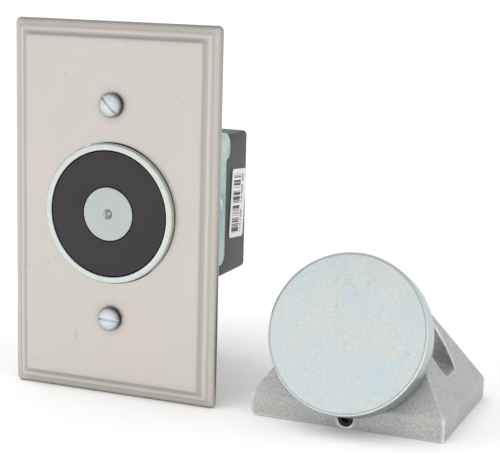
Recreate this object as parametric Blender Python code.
"""Electromagnetic door holder: a flush wall magnet and a swivelling door armature.

The wall half is a formed cover plate, a pot magnet in a steel bracket and a rear
housing with its rectifier board. The door half is a cast base with a pinned arm
and a steel disk on a ball. Lengths are in millimetres and become metres as each
mesh is made. +Z is up, the plate faces -Y, and the origin is on the magnet's axis
in the plane of the wall.
"""
import bmesh
import bpy
from math import atan2, cos, pi, radians, sin, sqrt
from mathutils import Matrix, Vector

MM = 0.001
GAP = 0.3                   # clearance between pieces that touch

# Cover plate
PLATE_W = 68.4
PLATE_H = 114.3
PLATE_CORNER_R = 1.6
PLATE_SHEET = 1.2
PLATE_FIELD = 3.6           # height of the flat field above the wall
# Pressed edge as (inset from the rim, height): a bevel, a shelf, and a step up to the field
PLATE_FRONT = ((0.0, 0.0), (0.0, 0.6), (0.3, 1.05), (1.2, 1.7), (2.4, 2.25), (4.0, 2.75), (4.8, 3.4),
               (5.4, PLATE_FIELD))
PLATE_BACK = ((1.3, 0.0), (2.9, 1.0), (5.6, PLATE_FIELD - PLATE_SHEET))
SCREW_Z = 32.6              # plate screws above and below the magnet's axis
SCREW_HEAD_R = 3.6
SCREW_HEAD_H = 2.1
SCREW_SHANK_R = 1.9
SCREW_SLOT_W = 1.0
SCREW_SLOT_DEPTH = 1.0
SCREW_TIP_Y = 9.0
UPPER_SLOT_TURN = radians(44)
LOWER_SLOT_TURN = radians(3)

# Magnet, measured along the axis from the wall, positive into the wall
POLE_Y = -5.7
CUP_R = 21.3
CUP_WALL = 2.1
CUP_BACK_Y = 22.0
CUP_FLOOR = 3.0
CORE_R = 8.2
DIMPLE_R = 1.5
DIMPLE_DEPTH = 1.1
RESIN_RECESS = 0.35
RESIN_DEPTH = 2.2
BOBBIN_FLANGE = 1.0
CORE_BOLT_R = 2.0
CORE_BOLT_HEAD_R = 3.6
CORE_BOLT_HEAD_H = 2.2
CORE_BOLT_GRIP = 9.0

# Bracket
BRACKET_SHEET = 1.4
BRACKET_HALF_W = 21.0
BRACKET_WING_Z = 38.5
BRACKET_WING_HALF_W = 11.0
BRACKET_WING_Y = 1.8
BRACKET_STRAP_Z = 21.9
FLANGE_BACK_Y = 35.2
FLANGE_EAR_AT = (33.2, 16.8)
FLANGE_EAR_R = 5.1
FLANGE_TOP = FLANGE_EAR_AT[1] + FLANGE_EAR_R
FLANGE_BOTTOM = -20.6

# Rear housing
HOUSING_HALF_W = 19.2
HOUSING_FRONT_Y = 24.2
HOUSING_BACK_Y = 57.2
HOUSING_TOP = 20.3
HOUSING_BOTTOM = -25.7
HOUSING_WALL = 1.8
HOUSING_EDGE_R = 1.4
HOUSING_SCREW_Y = 26.8
GROMMET_R = 5.4
GROMMET_BORE_R = 3.4
GROMMET_Z = -14.0
LABEL_AT = (49.1, -2.95)      # its middle, back from the wall and up from the axis
LABEL_W = 11.4
LABEL_H = 22.6
LABEL_TURN = radians(5.3)     # it is stuck on a little askew
LABEL_T = 0.2
LABEL_LIFT = 0.1

# Supply board, in the housing; places on it are (x, z)
BOARD_Y = 32.0
BOARD_T = 1.6
BOARD_BOTTOM = -9.0
BOARD_CLEAR = 0.6
BOARD_POSTS = ((-13.5, -5.5), (13.5, -5.5), (0.0, 14.9))
POST_R = 2.2
POST_BORE_R = 0.9
BOARD_SCREW_R = 0.6
BOARD_SCREW_HEAD_R = 1.7
RECTIFIER_LOW = (-14.0, 4.0)
RECTIFIER_SIDE = 11.0
RECTIFIER_H = 4.5
SUPPRESSOR_AT = (8.0, 8.0)
SUPPRESSOR_R = 5.0
SUPPRESSOR_H = 4.2
RESISTOR_Z = -2.5
RESISTOR_LIFT = 2.6

# Armature base; its own origin is the middle of its underside
BASE_AT = (75.5, 23.4, -57.15)
BASE_W = 59.1
BASE_D = 49.0
BASE_WALL_H = 6.65
BASE_H = 30.5
BASE_SLOPE_X = 0.66         # run of each side slope for one unit of rise
BASE_SLOPE_Y = 0.62         # run of the front and back slopes
BASE_TOP_ROUND = 2.4
BASE_EDGE_ROUND = 0.6
POCKET_X = 18.2
POCKET_R = 7.9
POCKET_FLOOR = 13.6
POCKET_HOLE_R = 2.6
PIVOT_Z = 19.1
PIN_R = 2.0
PIN_HALF = 9.8
HUB_R = 5.4
HUB_HALF_W = 5.2
SLOT_HALF_W = 5.5
BORE_R = 6.0
SET_SCREW_R = 2.15
SET_SCREW_Z = 2.95
HEX_AF = 2.4

# Arm and disk, measured from the pivot along the arm
REST_TILT = radians(69.2)   # the arm leans this far forward from upright
REST_SWING = radians(2.0)   # the disk looks this far to the side on its ball
STEM_R = 3.2
NECK_R = 2.4
BALL_R = 3.7
BALL_AT = 21.2
CUP_IN_R = 4.0
CUP_OUT_R = 5.3
DISK_R = 23.6
DISK_FACE_AT = 29.0
DISK_T = 9.4
DISK_CHAMFER = 0.45
RING_R = 8.7
RING_T = 1.7

FINE = 80                   # sides of a large turned piece
ROUND = 48
SMALL = 24


# ---- helpers ----

def clear_scene():
    for old in list(bpy.data.objects):
        bpy.data.objects.remove(old, do_unlink=True)


def finish(name, colour, roughness, metallic):
    material = bpy.data.materials.new(name)
    material.use_nodes = True
    shader = material.node_tree.nodes["Principled BSDF"]
    shader.inputs["Base Color"].default_value = (*colour, 1.0)
    shader.inputs["Roughness"].default_value = roughness
    shader.inputs["Metallic"].default_value = metallic
    return material


def add_object(name, bm, material=None):
    bmesh.ops.recalc_face_normals(bm, faces=bm.faces)
    mesh = bpy.data.meshes.new(name)
    bm.to_mesh(mesh)
    bm.free()
    obj = bpy.data.objects.new(name, mesh)
    bpy.context.scene.collection.objects.link(obj)
    if material:
        mesh.materials.append(material)
    return obj


def smooth(obj, angle=35):
    obj.data.shade_smooth()
    obj.data.set_sharp_from_angle(angle=radians(angle))
    return obj


def box(name, low, high, material=None):
    bm = bmesh.new()
    bmesh.ops.create_cube(bm, size=1.0)
    size = [b - a for a, b in zip(low, high)]
    middle = [(a + b) / 2 for a, b in zip(low, high)]
    bmesh.ops.scale(bm, vec=size, verts=bm.verts)
    bmesh.ops.translate(bm, vec=middle, verts=bm.verts)
    return add_object(name, bm, material)


def ring_of(bm, radius, height, sides):
    if radius < 1e-6:
        return [bm.verts.new((0, 0, height))]
    angles = [2 * pi * i / sides for i in range(sides)]
    return [bm.verts.new((radius * cos(a), radius * sin(a), height)) for a in angles]


def bridge(bm, lower, upper):
    """Join two rings, or a ring and its pole; a level ring and pole make one flat cap."""
    if len(lower) == 1 or len(upper) == 1:
        pole, ring = (lower, upper) if len(lower) == 1 else (upper, lower)
        if abs(pole[0].co.z - ring[0].co.z) < 1e-6:
            bm.verts.remove(pole[0])
            bm.faces.new(ring)
            return
        for i, corner in enumerate(ring):
            bm.faces.new((pole[0], corner, ring[(i + 1) % len(ring)]))
        return
    for i in range(len(lower)):
        j = (i + 1) % len(lower)
        bm.faces.new((lower[i], lower[j], upper[j], upper[i]))


def turned(name, profile, material=None, sides=ROUND):
    """Turn (radius, height) points round +Z; a profile off the axis is a closed loop."""
    bm = bmesh.new()
    rings = [ring_of(bm, radius, height, sides) for radius, height in profile]
    pairs = list(zip(rings, rings[1:]))
    if len(rings[0]) > 1:
        pairs.append((rings[-1], rings[0]))
    for lower, upper in pairs:
        bridge(bm, lower, upper)
    return smooth(add_object(name, bm, material))


def rod(name, radius, low, high, material=None, sides=SMALL):
    return turned(name, ((0, low), (radius, low), (radius, high), (0, high)), material, sides)


def prism(name, outline, low, high, material=None):
    """Extrude an (x, y) outline along +Z."""
    bm = bmesh.new()
    face = bm.faces.new([bm.verts.new((x, y, low)) for x, y in outline])
    grown = bmesh.ops.extrude_face_region(bm, geom=[face])
    moved = [v for v in grown["geom"] if isinstance(v, bmesh.types.BMVert)]
    bmesh.ops.translate(bm, vec=(0, 0, high - low), verts=moved)
    return add_object(name, bm, material)


def turn_mesh(obj, angle, axis, shift=(0, 0, 0)):
    """Turn a mesh about a line through its origin, then shift it."""
    obj.data.transform(Matrix.Translation(Vector(shift)) @ Matrix.Rotation(angle, 4, axis))
    return obj


def carve(obj, tools, operation="DIFFERENCE"):
    """Cut tools out of a piece, or weld them to it, and keep the result as its mesh."""
    for tool in tools:
        step = obj.modifiers.new("Boolean", "BOOLEAN")
        step.operation = operation
        step.object = tool
    bpy.context.view_layer.update()
    graph = bpy.context.evaluated_depsgraph_get()
    result = bpy.data.meshes.new_from_object(obj.evaluated_get(graph))
    obj.modifiers.clear()
    obj.data = result
    for tool in tools:
        bpy.data.objects.remove(tool, do_unlink=True)
    return smooth(obj)


def round_edges(obj, width, segments, angle=30):
    step = obj.modifiers.new("Bevel", "BEVEL")
    step.width = width
    step.segments = segments
    step.limit_method = "ANGLE"
    step.angle_limit = radians(angle)
    return carve(obj, [])


def arc(centre, radius, start, end, steps):
    angles = [start + (end - start) * i / steps for i in range(steps + 1)]
    return [(centre[0] + radius * cos(a), centre[1] + radius * sin(a)) for a in angles]


def rounded_rectangle(half_x, half_z, radius, steps=3):
    points = []
    for sx, sz, start in ((1, 1, 0), (-1, 1, pi / 2), (-1, -1, pi), (1, -1, 3 * pi / 2)):
        centre = (sx * (half_x - radius), sz * (half_z - radius))
        points += arc(centre, radius, start, start + pi / 2, steps)
    return points


def hang(parent, pieces):
    """Bring finished pieces from millimetres to metres and hang them on their empty."""
    for piece in pieces:
        piece.data.transform(Matrix.Scale(MM, 4))
        piece.parent = parent


def empty(name, location, rotation=(0, 0, 0), parent=None):
    obj = bpy.data.objects.new(name, None)
    obj.location = Vector(location) * MM
    obj.rotation_euler = rotation
    obj.parent = parent
    bpy.context.scene.collection.objects.link(obj)
    return obj


def face_forward(obj, shift=(0, 0, 0)):
    """Lay a piece made along +Z on the magnet's axis, so that +Z becomes +Y."""
    return turn_mesh(obj, radians(-90), "X", shift)


# ---- finishes ----

STAINLESS = finish("satin_stainless", (0.62, 0.58, 0.53), 0.32, 1.0)
ZINC = finish("zinc_plate", (0.66, 0.70, 0.70), 0.34, 1.0)
POLE_STEEL = finish("pole_steel", (0.60, 0.63, 0.60), 0.30, 1.0)
RESIN = finish("black_resin", (0.045, 0.042, 0.045), 0.45, 0.0)
HOUSING_BLACK = finish("black_nylon", (0.06, 0.06, 0.062), 0.5, 0.0)
NYLON = finish("white_nylon", (0.72, 0.70, 0.64), 0.5, 0.0)
COPPER = finish("enamelled_copper", (0.55, 0.22, 0.08), 0.35, 1.0)
LAMINATE = finish("board_laminate", (0.04, 0.20, 0.08), 0.45, 0.0)
COMPONENT = finish("component_black", (0.03, 0.03, 0.03), 0.5, 0.0)
CERAMIC = finish("blue_ceramic", (0.05, 0.12, 0.35), 0.4, 0.0)
RUBBER = finish("black_rubber", (0.02, 0.02, 0.02), 0.8, 0.0)
PAPER = finish("label_paper", (0.85, 0.85, 0.85), 0.6, 0.0)
SILVER_PAINT = finish("silver_paint", (0.42, 0.42, 0.41), 0.45, 0.6)
BLACK_STEEL = finish("black_oxide_steel", (0.02, 0.02, 0.022), 0.35, 0.9)
SPRING_STEEL = finish("spring_steel", (0.30, 0.30, 0.31), 0.3, 1.0)
BRASS = finish("brass", (0.65, 0.45, 0.15), 0.35, 1.0)


# ---- wall half ----

def face_plate():
    """A sheet pressed over at its rim, with holes for the magnet and two screws."""
    bm = bmesh.new()
    loops = []
    for inset, height in PLATE_FRONT + tuple(reversed(PLATE_BACK)):
        outline = rounded_rectangle(PLATE_W / 2 - inset, PLATE_H / 2 - inset, PLATE_CORNER_R)
        loops.append([bm.verts.new((x, -height, z)) for x, z in outline])
    for one, two in zip(loops, loops[1:] + loops[:1]):
        if one is loops[len(PLATE_FRONT) - 1]:
            continue
        for i in range(len(one)):
            j = (i + 1) % len(one)
            bm.faces.new((one[i], one[j], two[j], two[i]))
    bm.faces.new(loops[len(PLATE_FRONT) - 1])
    bm.faces.new(loops[len(PLATE_FRONT)])
    plate = add_object("face_plate", bm, STAINLESS)
    tools = [face_forward(rod("magnet_hole", CUP_R + GAP, -9, 9, sides=FINE))]
    for side in (-1, 1):
        tools.append(face_forward(rod("screw_hole", SCREW_SHANK_R + 0.35, -9, 9), (0, 0, side * SCREW_Z)))
    return carve(plate, tools)


def plate_screw(name, height, slot_turn):
    """A slotted pan head on a shank that ends in the bracket's wing."""
    seat = PLATE_FIELD + GAP / 2
    rim = seat + 0.62 * SCREW_HEAD_H
    top = seat + SCREW_HEAD_H
    profile = [(0, -SCREW_TIP_Y), (SCREW_SHANK_R - 0.4, -SCREW_TIP_Y), (SCREW_SHANK_R, -SCREW_TIP_Y + 0.6)]
    profile += [(SCREW_SHANK_R, seat), (SCREW_HEAD_R, seat), (SCREW_HEAD_R, rim)]
    profile += [(SCREW_HEAD_R - 0.35, rim + 0.45), (SCREW_HEAD_R - 1.2, top - 0.08), (0, top)]
    screw = turned(name, profile, ZINC, 36)
    reach = SCREW_HEAD_R + 1
    half = SCREW_SLOT_W / 2
    slot = box("slot", (-reach, -half, top - SCREW_SLOT_DEPTH), (reach, half, top + 1))
    turn_mesh(slot, -slot_turn, "Z")
    carve(screw, [slot])
    return turn_mesh(screw, radians(90), "X", (0, 0, height))


def magnet_cup():
    """The outer pole: a steel pot, open at the front, with a hole for the core's bolt."""
    inner = CUP_R - CUP_WALL
    floor = CUP_BACK_Y - CUP_FLOOR
    hole = CORE_BOLT_R + GAP
    profile = [(CUP_R, CUP_BACK_Y), (hole, CUP_BACK_Y), (hole, floor), (inner, floor)]
    profile += [(inner, POLE_Y + 0.3), (inner + 0.3, POLE_Y), (CUP_R - 0.4, POLE_Y), (CUP_R, POLE_Y + 0.4)]
    return face_forward(turned("magnet_cup", profile, ZINC, FINE))


def magnet_core():
    """The centre pole, with a dimple in its face and a tapped hole in its back."""
    back = CUP_BACK_Y - CUP_FLOOR - GAP
    hole = CORE_BOLT_R + GAP
    profile = [(0, POLE_Y + DIMPLE_DEPTH), (DIMPLE_R * 0.6, POLE_Y + DIMPLE_DEPTH * 0.8), (DIMPLE_R, POLE_Y)]
    profile += [(CORE_R - 0.3, POLE_Y), (CORE_R, POLE_Y + 0.3), (CORE_R, back), (hole, back)]
    profile += [(hole, back - CORE_BOLT_GRIP), (0, back - CORE_BOLT_GRIP)]
    return face_forward(turned("magnet_core", profile, POLE_STEEL, ROUND))


def coil_parts():
    """The bobbin, its copper winding, and the resin that seals the face."""
    inner = CORE_R + GAP
    outer = CUP_R - CUP_WALL - GAP
    resin_front = POLE_Y + RESIN_RECESS
    resin_back = resin_front + RESIN_DEPTH
    front = resin_back + GAP
    back = CUP_BACK_Y - CUP_FLOOR - GAP
    tube = inner + 0.9
    fill = [(inner, resin_front), (outer, resin_front), (outer, resin_back), (inner, resin_back)]
    resin = turned("face_resin", fill, RESIN, 56)
    spool = [(inner, front), (outer, front), (outer, front + BOBBIN_FLANGE), (tube, front + BOBBIN_FLANGE)]
    spool += [(tube, back - BOBBIN_FLANGE), (outer, back - BOBBIN_FLANGE), (outer, back), (inner, back)]
    bobbin = turned("coil_bobbin", spool, NYLON, 28)
    low = front + BOBBIN_FLANGE + GAP
    high = back - BOBBIN_FLANGE - GAP
    wire = [(tube + GAP, low), (outer - 0.8, low), (outer - 0.8, high), (tube + GAP, high)]
    winding = turned("coil_winding", wire, COPPER, 28)
    return [face_forward(piece) for piece in (resin, bobbin, winding)]


def core_bolt():
    """Holds the core, the pot and the bracket's web together."""
    seat = CUP_BACK_Y + GAP + BRACKET_SHEET + GAP
    tip = CUP_BACK_Y - CUP_FLOOR - CORE_BOLT_GRIP + 0.8
    profile = [(0, tip), (CORE_BOLT_R, tip), (CORE_BOLT_R, seat), (CORE_BOLT_HEAD_R, seat)]
    profile += [(CORE_BOLT_HEAD_R, seat + CORE_BOLT_HEAD_H), (0, seat + CORE_BOLT_HEAD_H)]
    bolt = turned("core_bolt", profile, ZINC, SMALL)
    top = seat + CORE_BOLT_HEAD_H
    socket = prism("socket", arc((0, 0), 1.7, 0, 2 * pi * 5 / 6, 5), top - 1.3, top + 1)
    return face_forward(carve(bolt, [socket]))


def bracket_strap():
    """The hat-shaped strap, seen from the side, from the upper wing to the lower."""
    back = CUP_BACK_Y + GAP
    outer = BRACKET_STRAP_Z + BRACKET_SHEET
    half = [(BRACKET_WING_Y, BRACKET_WING_Z), (BRACKET_WING_Y + BRACKET_SHEET, BRACKET_WING_Z)]
    half += [(BRACKET_WING_Y + BRACKET_SHEET, outer), (back + BRACKET_SHEET, outer)]
    lower = [(y, -z) for y, z in reversed(half)]
    inner = [(BRACKET_WING_Y, -BRACKET_STRAP_Z), (back, -BRACKET_STRAP_Z)]
    inner += [(back, BRACKET_STRAP_Z), (BRACKET_WING_Y, BRACKET_STRAP_Z)]
    strap = prism("strap", half + lower + inner, -BRACKET_WING_HALF_W, BRACKET_WING_HALF_W)
    turn_mesh(strap, radians(90), "Z")
    return turn_mesh(strap, radians(90), "Y")


def side_flange(side):
    """A cheek beside the housing, with a rounded ear at its upper back corner."""
    front = CUP_BACK_Y + GAP
    outline = [(front, FLANGE_BOTTOM + 2), (front + 2, FLANGE_BOTTOM)]
    outline += arc((FLANGE_BACK_Y - 3.4, FLANGE_BOTTOM + 3.4), 3.4, -pi / 2, 0, 5)
    outline += [(FLANGE_BACK_Y, FLANGE_EAR_AT[1] - 4.2), (FLANGE_BACK_Y + 0.5, FLANGE_EAR_AT[1] - 3.6)]
    outline += arc(FLANGE_EAR_AT, FLANGE_EAR_R, radians(-35), radians(90), 9)
    outline += [(front, FLANGE_TOP)]
    inner = BRACKET_HALF_W - BRACKET_SHEET
    cheek = prism("cheek", outline, inner, BRACKET_HALF_W)
    turn_mesh(cheek, radians(90), "Z")
    turn_mesh(cheek, radians(90), "Y")
    if side < 0:
        cheek.data.transform(Matrix.Scale(-1, 4, (1, 0, 0)))
        cheek.data.flip_normals()
    return cheek


def mounting_bracket():
    """Folded steel: wings for the plate screws, a web behind the pot, two cheeks."""
    back = CUP_BACK_Y + GAP
    half = BRACKET_HALF_W
    far = (half, back + BRACKET_SHEET, FLANGE_TOP)
    web = box("mounting_bracket", (-half, back, FLANGE_BOTTOM), far, ZINC)
    carve(web, [bracket_strap()], "UNION")
    carve(web, [side_flange(1)], "UNION")
    carve(web, [side_flange(-1)], "UNION")
    tools = [face_forward(rod("bolt_hole", CORE_BOLT_R + GAP, back - 2, back + 4))]
    for side in (-1, 1):
        tools.append(face_forward(rod("wing_hole", SCREW_SHANK_R + GAP, -2, 9), (0, 0, side * SCREW_Z)))
    cross = rod("cheek_hole", 1.6 + GAP, -30, 30)
    tools.append(turn_mesh(cross, radians(90), "Y", (0, HOUSING_SCREW_Y, 0)))
    return carve(web, tools)


def rear_housing():
    """A moulded box, open towards the bracket, with a lead hole in its back."""
    low = (-HOUSING_HALF_W, HOUSING_FRONT_Y, HOUSING_BOTTOM)
    high = (HOUSING_HALF_W, HOUSING_BACK_Y, HOUSING_TOP)
    shell = round_edges(box("rear_housing", low, high, HOUSING_BLACK), HOUSING_EDGE_R, 3)
    inside = box("inside", (low[0] + HOUSING_WALL, low[1] - 5, low[2] + HOUSING_WALL),
                 (high[0] - HOUSING_WALL, high[1] - HOUSING_WALL, high[2] - HOUSING_WALL))
    lead_hole = face_forward(rod("lead_hole", GROMMET_R + GAP, HOUSING_BACK_Y - 6, HOUSING_BACK_Y + 6),
                             (0, 0, GROMMET_Z))
    side_holes = turn_mesh(rod("side_holes", 1.5 + GAP, -30, 30), radians(90), "Y", (0, HOUSING_SCREW_Y, 0))
    carve(shell, [inside, lead_hole, side_holes])
    return add_posts(shell)


def add_posts(shell):
    """Posts that the board is screwed to, each with a blind hole for its screw."""
    near = BOARD_Y + BOARD_T + GAP
    far = HOUSING_BACK_Y - HOUSING_WALL / 2
    for x, z in BOARD_POSTS:
        carve(shell, [face_forward(rod("post", POST_R, near, far), (x, 0, z))], "UNION")
    for x, z in BOARD_POSTS:
        carve(shell, [face_forward(rod("post_bore", POST_BORE_R, near - 1, near + 7, sides=16), (x, 0, z))])
    return shell


def housing_screw(name, side):
    """A round-headed screw through a cheek into the housing's wall."""
    seat = BRACKET_HALF_W + GAP
    inner = HOUSING_HALF_W - HOUSING_WALL - 2
    profile = [(0, inner), (1.5, inner), (1.5, seat), (2.9, seat)]
    profile += [(2.9, seat + 0.5), (1.9, seat + 1.4), (0, seat + 1.6)]
    screw = turned(name, profile, ZINC, 20)
    slot = box("slot", (-4, -0.35, seat + 0.9), (4, 0.35, seat + 3))
    carve(screw, [slot])
    return turn_mesh(screw, radians(90) * side, "Y", (0, HOUSING_SCREW_Y, 0))


def lead_grommet():
    """A rubber bush that lines the hole where the supply leads come out."""
    inside = HOUSING_BACK_Y - HOUSING_WALL - GAP
    outside = HOUSING_BACK_Y + GAP
    profile = [(GROMMET_BORE_R, inside - 1.3), (GROMMET_R + 1.3, inside - 1.3), (GROMMET_R + 1.3, inside)]
    profile += [(GROMMET_R, inside), (GROMMET_R, outside), (GROMMET_R + 1.3, outside)]
    profile += [(GROMMET_R + 0.9, outside + 1.2), (GROMMET_BORE_R + 0.5, outside + 1.5)]
    profile += [(GROMMET_BORE_R, outside + 1.1)]
    return face_forward(turned("lead_grommet", profile, RUBBER, SMALL), (0, 0, GROMMET_Z))


def circuit_board():
    """The supply board, drilled over the housing's posts."""
    edge = HOUSING_HALF_W - HOUSING_WALL - BOARD_CLEAR
    top = HOUSING_TOP - HOUSING_WALL - BOARD_CLEAR
    board = box("circuit_board", (-edge, BOARD_Y, BOARD_BOTTOM), (edge, BOARD_Y + BOARD_T, top), LAMINATE)
    tools = []
    for x, z in BOARD_POSTS:
        hole = rod("hole", BOARD_SCREW_R + GAP, BOARD_Y - 1, BOARD_Y + 3, sides=16)
        tools.append(face_forward(hole, (x, 0, z)))
    return carve(board, tools)


def board_screw(number, place):
    """A small pan-head screw through the board into its post."""
    seat = BOARD_Y - GAP
    tip = BOARD_Y + BOARD_T + 5.5
    profile = [(0, seat - 1.2), (BOARD_SCREW_HEAD_R - 0.4, seat - 1.2), (BOARD_SCREW_HEAD_R, seat - 0.8)]
    profile += [(BOARD_SCREW_HEAD_R, seat), (BOARD_SCREW_R, seat), (BOARD_SCREW_R, tip), (0, tip)]
    screw = turned(f"board_screw_{number}", profile, ZINC, 16)
    carve(screw, [box("slot", (-3, -0.25, seat - 2), (3, 0.25, seat - 0.7))])
    return face_forward(screw, (place[0], 0, place[1]))


def board_parts():
    """On the board: rectifier, surge suppressor and dropping resistor."""
    face = BOARD_Y + BOARD_T + GAP
    x, z = RECTIFIER_LOW
    far = (x + RECTIFIER_SIDE, face + RECTIFIER_H, z + RECTIFIER_SIDE)
    rectifier = box("bridge_rectifier", (x, face, z), far, COMPONENT)
    round_edges(rectifier, 0.5, 1)
    disc = rod("surge_suppressor", SUPPRESSOR_R, 0, SUPPRESSOR_H, CERAMIC, 20)
    round_edges(disc, 0.8, 2)
    face_forward(disc, (SUPPRESSOR_AT[0], face, SUPPRESSOR_AT[1]))
    half = [(2.1, 4.4), (2.4, 5), (2.4, 6.6), (1.6, 7.5), (0, 7.5)]
    body = [(radius, -height) for radius, height in reversed(half)] + half
    resistor = turned("dropping_resistor", body, CERAMIC, 16)
    turn_mesh(resistor, radians(90), "Y", (0, face + RESISTOR_LIFT, RESISTOR_Z))
    return [rectifier, disc, resistor]


def side_label():
    """A paper label on the housing's right-hand side."""
    x = HOUSING_HALF_W + LABEL_LIFT
    outline = rounded_rectangle(LABEL_W / 2, LABEL_H / 2, 1.0)
    label = prism("side_label", outline, 0, LABEL_T, PAPER)
    turn_mesh(label, radians(90) - LABEL_TURN, "Z")
    return turn_mesh(label, radians(90), "Y", (x, *LABEL_AT))


# ---- door half: base ----

def base_block():
    """A low box under a four-sided frustum, all its edges rounded."""
    rise = BASE_H - BASE_WALL_H
    levels = ((BASE_W / 2, BASE_D / 2, 0), (BASE_W / 2, BASE_D / 2, BASE_WALL_H),
              (BASE_W / 2 - BASE_SLOPE_X * rise, BASE_D / 2 - BASE_SLOPE_Y * rise, BASE_H))
    bm = bmesh.new()
    rings = []
    for half_x, half_y, z in levels:
        corners = ((half_x, half_y), (-half_x, half_y), (-half_x, -half_y), (half_x, -half_y))
        rings.append([bm.verts.new((x, y, z)) for x, y in corners])
    bm.faces.new(rings[0])
    bm.faces.new(rings[2])
    for lower, upper in zip(rings, rings[1:]):
        for i in range(4):
            j = (i + 1) % 4
            bm.faces.new((lower[i], lower[j], upper[j], upper[i]))
    bmesh.ops.recalc_face_normals(bm, faces=bm.faces)
    top = [e for e in bm.edges if all(v.co.z > BASE_H - 0.1 for v in e.verts)]
    bmesh.ops.bevel(bm, geom=top, offset=BASE_TOP_ROUND, segments=4, profile=0.5, affect="EDGES")
    block = add_object("base_casting", bm, SILVER_PAINT)
    return round_edges(block, BASE_EDGE_ROUND, 2, 24)


def slot_cutter():
    """The wedge of room that the arm sweeps, from just below rest to just past upright."""
    room = STEM_R + 0.9
    reach = 45
    low = pi / 2 - REST_TILT - radians(3)
    high = radians(93)
    start = (room * sin(low), -room * cos(low))
    end = (-room * sin(high), room * cos(high))
    outline = [start, (start[0] + reach * cos(low), start[1] + reach * sin(low)), (reach, reach)]
    outline += [(end[0] + reach * cos(high), end[1] + reach * sin(high)), end]
    wedge = prism("wedge", outline, -SLOT_HALF_W, SLOT_HALF_W)
    turn_mesh(wedge, radians(90), "X")
    return turn_mesh(wedge, radians(-90), "Z", (0, 0, PIVOT_Z))


def across(obj, height):
    """Lay a piece made along +Z across the base at the given height."""
    return turn_mesh(obj, radians(90), "Y", (0, 0, height))


def base_casting():
    """The casting: arm slot, pin hole, shoe bore, set-screw hole and two screw pockets."""
    block = base_block()
    carve(block, [slot_cutter()])
    carve(block, [across(rod("hub_room", HUB_R + 0.8, -SLOT_HALF_W, SLOT_HALF_W, sides=36), PIVOT_Z)])
    carve(block, [rod("shoe_bore", BORE_R, -2, PIVOT_Z - HUB_R + 1, sides=36)])
    carve(block, [across(rod("pin_hole", PIN_R + GAP, -POCKET_X, POCKET_X, sides=SMALL), PIVOT_Z)])
    screw_hole = rod("set_screw_hole", SET_SCREW_R + 0.15, -BASE_D, -1, sides=SMALL)
    carve(block, [face_forward(screw_hole, (0, 0, SET_SCREW_Z))])
    for side in (-1, 1):
        pocket = rod("pocket", POCKET_R, POCKET_FLOOR, BASE_H + 5, sides=40)
        hole = rod("hole", POCKET_HOLE_R, -2, POCKET_FLOOR + 2, sides=SMALL)
        for tool in (pocket, hole):
            carve(block, [turn_mesh(tool, 0, "Z", (side * POCKET_X, 0, 0))])
    return block


def set_screw():
    """A socket set screw whose cone point bites the plug's groove."""
    head = -BASE_D / 2 + 0.35
    point = -BORE_R + 0.9
    profile = [(0, head), (SET_SCREW_R - 0.3, head), (SET_SCREW_R, head + 0.3)]
    profile += [(SET_SCREW_R, point - 1.4), (0, point)]
    screw = turned("set_screw", profile, BLACK_STEEL, SMALL)
    corner = HEX_AF / sqrt(3)
    socket = prism("socket", arc((0, 0), corner, 0, 2 * pi * 5 / 6, 5), head - 1, head + 2.2)
    return face_forward(carve(screw, [socket]), (0, 0, SET_SCREW_Z))


def shoe_stack():
    """Under the arm's hub: a friction shoe, a disc spring and the plug that loads them."""
    radius = BORE_R - GAP
    groove = radius - 1.6
    profile = [(0, 0.5), (radius, 0.5), (radius, SET_SCREW_Z - 1.5), (groove, SET_SCREW_Z - 0.2)]
    profile += [(groove, SET_SCREW_Z + 0.2), (radius, SET_SCREW_Z + 1.5), (radius, 6.2), (0, 6.2)]
    plug = turned("shoe_plug", profile, BRASS, 32)
    cone = [(2.4, 7.1), (radius - 0.1, 6.5), (radius - 0.1, 7.3), (2.4, 7.9)]
    spring = turned("disc_spring", cone, SPRING_STEEL, 32)
    shoe = rod("friction_shoe", radius, 8.2, 14.2, NYLON, 32)
    carve(shoe, [across(rod("hub_form", HUB_R + GAP, -9, 9, sides=36), PIVOT_Z)])
    return [plug, spring, shoe]


def hinge_pin():
    """The pin that the arm tilts on, pressed in from one of the screw pockets."""
    chamfer = 0.3
    profile = [(0, -PIN_HALF), (PIN_R - chamfer, -PIN_HALF), (PIN_R, -PIN_HALF + chamfer)]
    profile += [(r, -z) for r, z in reversed(profile)]
    return across(turned("hinge_pin", profile, SPRING_STEEL, SMALL), PIVOT_Z)


# ---- door half: arm and disk, made along +Z from the pivot ----

def swivel_arm():
    """An eye round the pin, a stem and a ball."""
    neck_at = BALL_AT - sqrt(BALL_R ** 2 - NECK_R ** 2)
    start = -atan2(neck_at - BALL_AT, NECK_R)
    profile = [(0, 0.5), (STEM_R, 0.5), (STEM_R, 15.6), (NECK_R, 17.0)]
    profile += arc((0, BALL_AT), BALL_R, -start, pi / 2, 9)
    profile[-1] = (0, BALL_AT + BALL_R)
    stem = turned("swivel_arm", profile, ZINC, 32)
    hub = turn_mesh(rod("hub", HUB_R, -HUB_HALF_W, HUB_HALF_W, sides=36), radians(90), "Y")
    carve(stem, [hub], "UNION")
    eye = turn_mesh(rod("eye", PIN_R + GAP, -9, 9, sides=SMALL), radians(90), "Y")
    return carve(stem, [eye])


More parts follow.
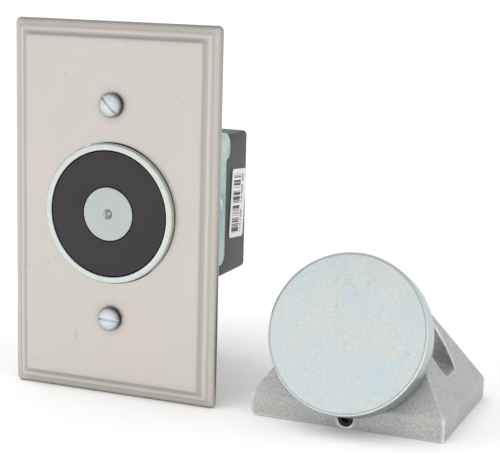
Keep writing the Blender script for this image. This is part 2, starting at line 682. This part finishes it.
def bearing_cup():
    """A nylon cap between the ball and the disk, round on both sides."""
    rim = 1.1
    outer = arc((0, 0), CUP_OUT_R, atan2(rim, sqrt(CUP_OUT_R ** 2 - rim ** 2)), pi / 2, 5)
    inner = arc((0, 0), CUP_IN_R, pi / 2, atan2(rim, sqrt(CUP_IN_R ** 2 - rim ** 2)), 5)
    outer[-1] = (0, CUP_OUT_R)
    inner[0] = (0, CUP_IN_R)
    bm = bmesh.new()
    rings = [ring_of(bm, radius, height, SMALL) for radius, height in inner + outer]
    for lower, upper in zip(rings, rings[1:]):
        bridge(bm, lower, upper)
    return smooth(add_object("bearing_cup", bm, NYLON))


def retaining_ring():
    """Holds the ball in the disk; its bore is part of a sphere round the ball."""
    back = DISK_FACE_AT - DISK_T - BALL_AT + 0.1
    front = back + RING_T
    bore = [(sqrt(CUP_IN_R ** 2 - z ** 2), z) for z in (front, (front + back) / 2, back)]
    profile = [(RING_R, back), (RING_R, front)] + bore
    return turned("retaining_ring", profile, SPRING_STEEL, 40)


def armature_disk():
    """The steel disk that the magnet holds, with the ball's seat in its back."""
    face = DISK_FACE_AT - BALL_AT
    back = face - DISK_T
    step = back + 0.1 + RING_T + GAP
    seat = CUP_OUT_R + GAP
    edge = DISK_CHAMFER
    profile = [(0, face), (DISK_R - edge, face), (DISK_R, face - edge)]
    profile += [(DISK_R, back + edge), (DISK_R - edge, back)]
    profile += [(RING_R + GAP, back), (RING_R + GAP, step), (sqrt(seat ** 2 - step ** 2), step)]
    rise = atan2(step, sqrt(seat ** 2 - step ** 2))
    profile += arc((0, 0), seat, rise, pi / 2, 4)[1:-1] + [(0, seat)]
    return turned("armature_disk", profile, ZINC, FINE)


# ---- assembly ----

def build():
    clear_scene()
    wall = empty("wall_half", (0, 0, 0))
    hang(wall, [face_plate(), plate_screw("plate_screw_upper", SCREW_Z, UPPER_SLOT_TURN)])
    hang(wall, [plate_screw("plate_screw_lower", -SCREW_Z, LOWER_SLOT_TURN)])
    hang(wall, [magnet_cup(), magnet_core(), core_bolt(), mounting_bracket()])
    hang(wall, coil_parts() + [circuit_board()] + board_parts())
    hang(wall, [board_screw(number, place) for number, place in enumerate(BOARD_POSTS, 1)])
    hang(wall, [rear_housing(), lead_grommet(), side_label()])
    hang(wall, [housing_screw("housing_screw_right", 1), housing_screw("housing_screw_left", -1)])

    base = empty("door_half", BASE_AT)
    hang(base, [base_casting(), set_screw(), hinge_pin()] + shoe_stack())
    pivot = empty("arm_pivot", (0, 0, PIVOT_Z), (REST_TILT, 0, 0), base)
    hang(pivot, [swivel_arm()])
    ball = empty("ball_centre", (0, 0, BALL_AT), (0, REST_SWING, 0), pivot)
    hang(ball, [bearing_cup(), retaining_ring(), armature_disk()])


build()
